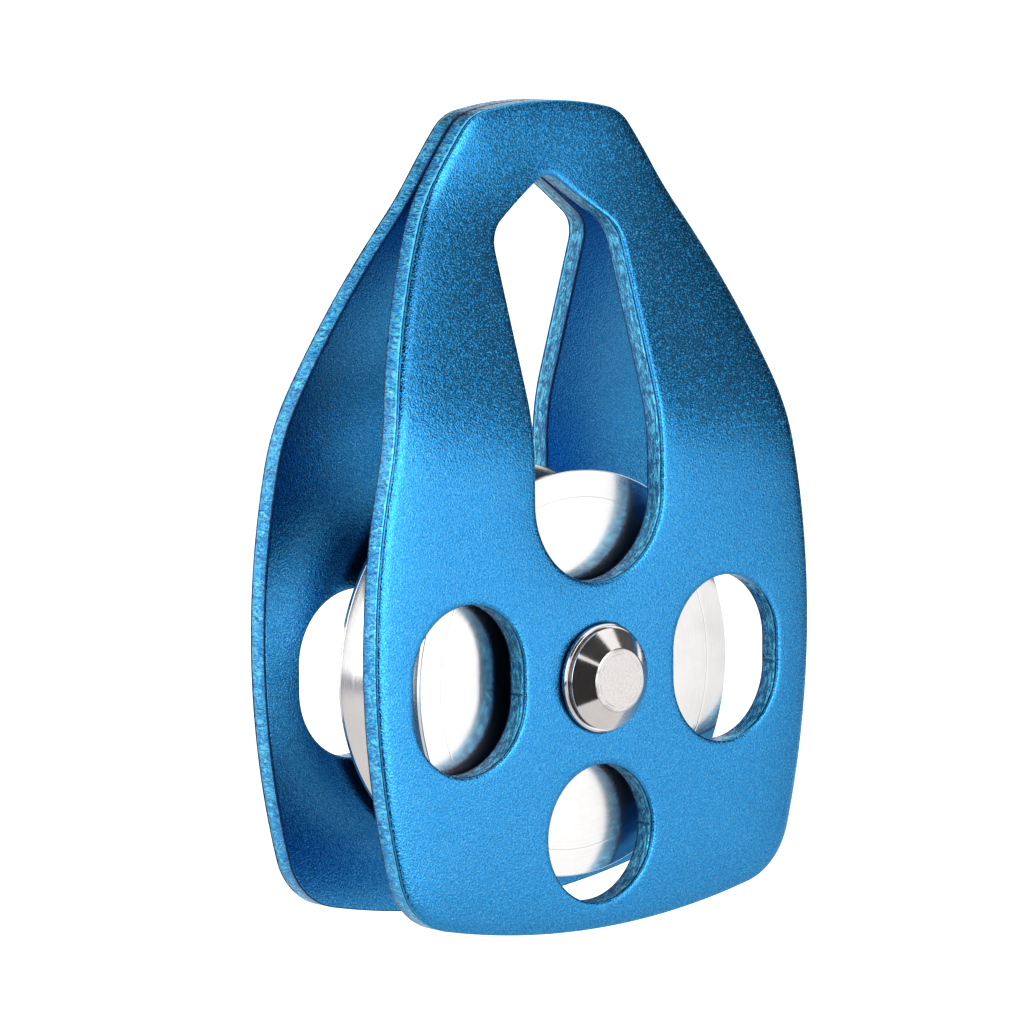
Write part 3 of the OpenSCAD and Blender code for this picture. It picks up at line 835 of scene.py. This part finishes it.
def race(outer, mirror):
    ch, t_r, pitch, mid = 0.4, 2.4, 10.0, 4.0
    if outer:
        edge, back = 12.0, 14.0
    else:
        edge, back = 8.0, 6.0
    reach = abs(edge - pitch)
    a0 = math.degrees(math.acos(reach / t_r))
    track = []
    for a in np.linspace(-a0, a0, 17):
        off = t_r * math.cos(math.radians(a))
        track.append((pitch + (off if outer else -off), mid + t_r * math.sin(math.radians(a)), 0.0))
    track[0] = (edge, track[0][1], 0.05)
    track[-1] = (edge, track[-1][1], 0.05)
    if outer:
        sec = [(edge, 0.0, 0.1)] + track + [(edge, 8.0, 0.1), (back - ch, 8.0, 0.1), (back, 8.0 - ch, 0.15), (back, ch, 0.15), (back - ch, 0.0, 0.1)]
    else:
        sec = [(edge, 0.0, 0.1)] + track + [(edge, 8.0, 0.1), (back + ch, 8.0, 0.1), (back, 8.0 - ch, 0.15), (back, ch, 0.15), (back + ch, 0.0, 0.1)]
    side = "front" if mirror else "rear"
    return lathe(f"{side}_bearing_{'outer' if outer else 'inner'}_race_detailed", sec, MAT["bearing"], 144, mirror)


def seal(outboard, mirror):
    y0 = 8.0 - 0.6 - 0.2 if outboard else 0.2
    y1 = y0 + 0.6
    # a pressed shield: a raised ring near its outer edge and a thin lip at its bore, on the side that faces out
    if outboard:
        sec = [(8.1, y0 + 0.14, 0.06), (8.5, y0 + 0.14, 0.1), (8.9, y0, 0.15), (12.0, y0, 0.1), (12.0, y1, 0.1), (11.3, y1, 0.1), (11.0, y1 - 0.16, 0.1), (9.3, y1 - 0.16, 0.1), (9.0, y1, 0.1), (8.1, y1, 0.12)]
    else:
        sec = [(8.1, y0, 0.12), (9.0, y0, 0.1), (9.3, y0 + 0.16, 0.1), (11.0, y0 + 0.16, 0.1), (11.3, y0, 0.1), (12.0, y0, 0.1), (12.0, y1, 0.1), (8.9, y1, 0.15), (8.5, y1 - 0.14, 0.1), (8.1, y1 - 0.14, 0.06)]
    side = "front" if mirror else "rear"
    return lathe(f"{side}_bearing_{'outboard' if outboard else 'inboard'}_seal_detailed", sec, MAT["rubber"], 144, mirror)


# ---------------------------------------------------------------- build
TAG = {}


def stand_for(ob, node, body):
    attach(ob, body)
    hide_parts(node)
    TAG[node] = ob


front_plate = plate("front_side_plate_detailed", -1)
rear_plate = plate("rear_side_plate_detailed", 1)
stand_for(front_plate, "front_side_plate", "front_plate")
stand_for(rear_plate, "rear_side_plate", "rear_plate")
pin, rear_head = make_axle()
stand_for(pin, "axle_pin", "axle")
stand_for(rear_head, "rear_axle_head", "axle")
stand_for(sheave(), "sheave", "wheel")
BODY = {n: o["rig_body"] for n, o in CAD.items()}
for mirror, side in ((True, "front"), (False, "rear")):
    stand_for(washer(mirror), side + "_outer_washer", BODY[side + "_outer_washer"])
    stand_for(bush(mirror), side + "_plate_bush", BODY[side + "_plate_bush"])
    stand_for(spacer(mirror), side + "_inner_spacer", BODY[side + "_inner_spacer"])
    for outer in (True, False):
        node = f"{side}_bearing_{'outer' if outer else 'inner'}_race"
        stand_for(race(outer, mirror), node, BODY[node])
    for outboard in (True, False):
        node = f"{side}_bearing_{'outboard' if outboard else 'inboard'}_seal"
        stand_for(seal(outboard, mirror), node, BODY[node])
    for node, mat in ((side + "_circlip", "spring"), (side + "_bearing_balls", "bearing"), (side + "_bearing_cage", "nylon")):
        ob = CAD[node]
        ob.data.materials.clear()
        ob.data.materials.append(MAT[mat])

# every detailed piece must fill its CAD node's box
for node, ob in TAG.items():
    lo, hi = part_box(node)
    co = np.array([v.co for v in ob.data.vertices])
    gap = max(np.abs(co.min(0) - np.array(lo)).max(), np.abs(co.max(0) - np.array(hi)).max()) * 1000
    if gap > 0.12:
        print(f"BOX {node}: differs by {gap:.3f} mm", [round(x * 1000, 3) for x in (*co.min(0), *co.max(0))], [round(x * 1000, 3) for x in (*lo, *hi)])

# ---------------------------------------------------------------- stage and light
scene.view_settings.view_transform = "Standard"
scene.view_settings.look = "None"


def world():
    w = bpy.data.worlds.new("studio")
    scene.world = w
    w.use_nodes = True
    bg = w.node_tree.nodes["Background"]
    bg.inputs["Color"].default_value = (1, 1, 1, 1)
    bg.inputs["Strength"].default_value = 1.3


def floor():
    n = Nodes("pale_floor")
    tone = n.noise(3.0, 3.0, 0.5)
    colour = n.mix(n.remap(tone, 0.3, 0.7, 0.0, 1.0), rgb(0.93, 0.93, 0.93), rgb(0.97, 0.97, 0.97))
    mat = n.principled(Base_Color=colour, Roughness=0.9, Emission_Color=rgb(1, 1, 1), Emission_Strength=0.35)
    me = bpy.data.meshes.new("floor")
    s, z = 60.0, -0.55
    me.from_pydata([(-s, -s, z), (s, -s, z), (s, s, z), (-s, s, z)], [], [(0, 1, 2, 3)])
    me.materials.append(mat)
    ob = bpy.data.objects.new("floor", me)
    scene.collection.objects.link(ob)


def card(name, az, el, dist, w, h, level, roll=0.0, tint=(1, 1, 1), aim=(0, 0, 0.02)):
    """A studio card that faces the object. az is measured from -Y towards +X, el above the horizon. level is its brightness."""
    a, e = math.radians(az), math.radians(el)
    d = Vector((math.sin(a) * math.cos(e), -math.cos(a) * math.cos(e), math.sin(e)))
    n = Nodes(name)
    em = n.new("ShaderNodeEmission", {"Color": (*tint, 1.0), "Strength": level})
    n.t.links.new(em.outputs[0], n.out.inputs["Surface"])
    me = bpy.data.meshes.new(name)
    me.from_pydata([(-w / 2, -h / 2, 0), (w / 2, -h / 2, 0), (w / 2, h / 2, 0), (-w / 2, h / 2, 0)], [], [(0, 1, 2, 3)])
    me.materials.append(n.mat)
    ob = bpy.data.objects.new(name, me)
    scene.collection.objects.link(ob)
    ob.matrix_world = Matrix.Translation(Vector(aim) + d * dist) @ d.to_track_quat("Z", "Y").to_matrix().to_4x4() @ Matrix.Rotation(math.radians(roll), 4, "Z")
    ob.visible_camera = False
    ob.visible_shadow = False
    return ob


def graded_card(name, az, el, dist, u0, u1, w0, w1):
    """A card at the front right whose brightness falls from a bright lower left to a dim upper right, as a flag before a softbox does."""
    a, e = math.radians(az), math.radians(el)
    d = Vector((math.sin(a) * math.cos(e), -math.cos(a) * math.cos(e), math.sin(e)))
    n = Nodes(name)
    xyz = n.new("ShaderNodeSeparateXYZ", {0: n.coord.outputs["Object"]})
    u, w = xyz.outputs[0], xyz.outputs[1]
    low = n.math("ADD", n.remap(u, -0.12, 0.12, 1.68, 1.06), n.remap(u, -0.192, -0.156, 2.2, 0.0, smooth=True))
    low = n.math("SUBTRACT", low, n.remap(u, 0.012, 0.045, 0.0, 0.42, smooth=True))
    low = n.math("SUBTRACT", low, n.remap(w, -0.168, -0.146, 0.48, 0.0, smooth=True))
    edge = n.math("ADD", w, n.math("MULTIPLY", u, 0.3))
    over = n.remap(edge, -0.040, 0.015, 0.0, 1.0, smooth=True)
    left = n.remap(u, -0.210, -0.130, 0.0, 1.0, smooth=True)
    high = n.math("ADD", n.remap(u, -0.150, -0.060, 2.3, 0.0, smooth=True), n.remap(u, -0.010, 0.030, 0.08, 0.60, smooth=True))
    high = n.math("SUBTRACT", high, n.remap(u, 0.043, 0.056, 0.0, 0.50, smooth=True))
    cap = n.math("MULTIPLY", n.remap(w, 0.05, 0.12, 1.0, 0.0, smooth=True), n.remap(u, -0.055, 0.000, 0.85, 0.0, smooth=True))
    high = n.math("ADD", high, cap)
    k = n.math("MULTIPLY", over, left)
    level = n.math("ADD", n.math("MULTIPLY", high, k), n.math("MULTIPLY", low, n.math("SUBTRACT", 1.0, k)))
    em = n.new("ShaderNodeEmission", {"Color": (1.0, 1.0, 1.0, 1.0), "Strength": level})
    n.t.links.new(em.outputs[0], n.out.inputs["Surface"])
    me = bpy.data.meshes.new(name)
    me.from_pydata([(u0, w0, 0), (u1, w0, 0), (u1, w1, 0), (u0, w1, 0)], [], [(0, 1, 2, 3)])
    me.materials.append(n.mat)
    ob = bpy.data.objects.new(name, me)
    scene.collection.objects.link(ob)
    ob.matrix_world = Matrix.Translation(d * dist) @ d.to_track_quat("Z", "Y").to_matrix().to_4x4()
    ob.visible_camera = False
    ob.visible_shadow = False
    return ob


def flat_card(name, x0, x1, y0, y1, z, level, tint):
    """A level card under the object: the near part of the table."""
    n = Nodes(name)
    em = n.new("ShaderNodeEmission", {"Color": (*tint, 1.0), "Strength": level})
    n.t.links.new(em.outputs[0], n.out.inputs["Surface"])
    me = bpy.data.meshes.new(name)
    me.from_pydata([(x0, y0, z), (x1, y0, z), (x1, y1, z), (x0, y1, z)], [], [(0, 1, 2, 3)])
    me.materials.append(n.mat)
    ob = bpy.data.objects.new(name, me)
    scene.collection.objects.link(ob)
    ob.visible_camera = False
    ob.visible_shadow = False
    return ob


def shadow_card(name, az0, az1, d0, d1, z, level):
    """A dark piece of the table's plane towards the camera, where the table ends."""
    n = Nodes(name)
    em = n.new("ShaderNodeEmission", {"Color": (1.0, 1.0, 1.0, 1.0), "Strength": level})
    n.t.links.new(em.outputs[0], n.out.inputs["Surface"])
    a, b = math.radians(az0), math.radians(az1)
    me = bpy.data.meshes.new(name)
    me.from_pydata(
        [(math.sin(q) * d, -math.cos(q) * d, z) for q, d in ((a, d0), (b, d0), (b, d1), (a, d1))], [], [(0, 1, 2, 3)]
    )
    me.materials.append(n.mat)
    ob = bpy.data.objects.new(name, me)
    scene.collection.objects.link(ob)
    ob.visible_camera = False
    ob.visible_shadow = False
    return ob


world()
floor()
graded_card("flag_right_front", 42, 6, 0.40, -0.22, 0.52, -0.16, 0.31)
card("flag_camera_low", -26, -8, 0.62, 0.36, 0.86, 0.03)
card("flag_camera_high", -15, 46, 0.70, 0.86, 0.36, 0.05)
card("softbox_front", 14, 8, 0.80, 0.46, 0.70, 3.4)
card("flag_back_high", 180, 44, 1.0, 1.9, 0.66, 0.10)
card("softbox_left", -68, 15, 0.70, 0.28, 0.44, 4.0)
card("window_back_left", -141, 14, 1.0, 0.50, 0.20, 4.2)
card("strip_left", -80, -12.5, 0.60, 0.90, 0.098, 0.17, tint=(0.50, 0.58, 1.0))
flat_card("table_near", -0.58, 0.50, -0.50, 0.58, -0.135, 0.86, (1.0, 0.975, 0.965))
shadow_card("table_edge_front", -41, -6, 0.165, 0.75, -0.131, 0.03)
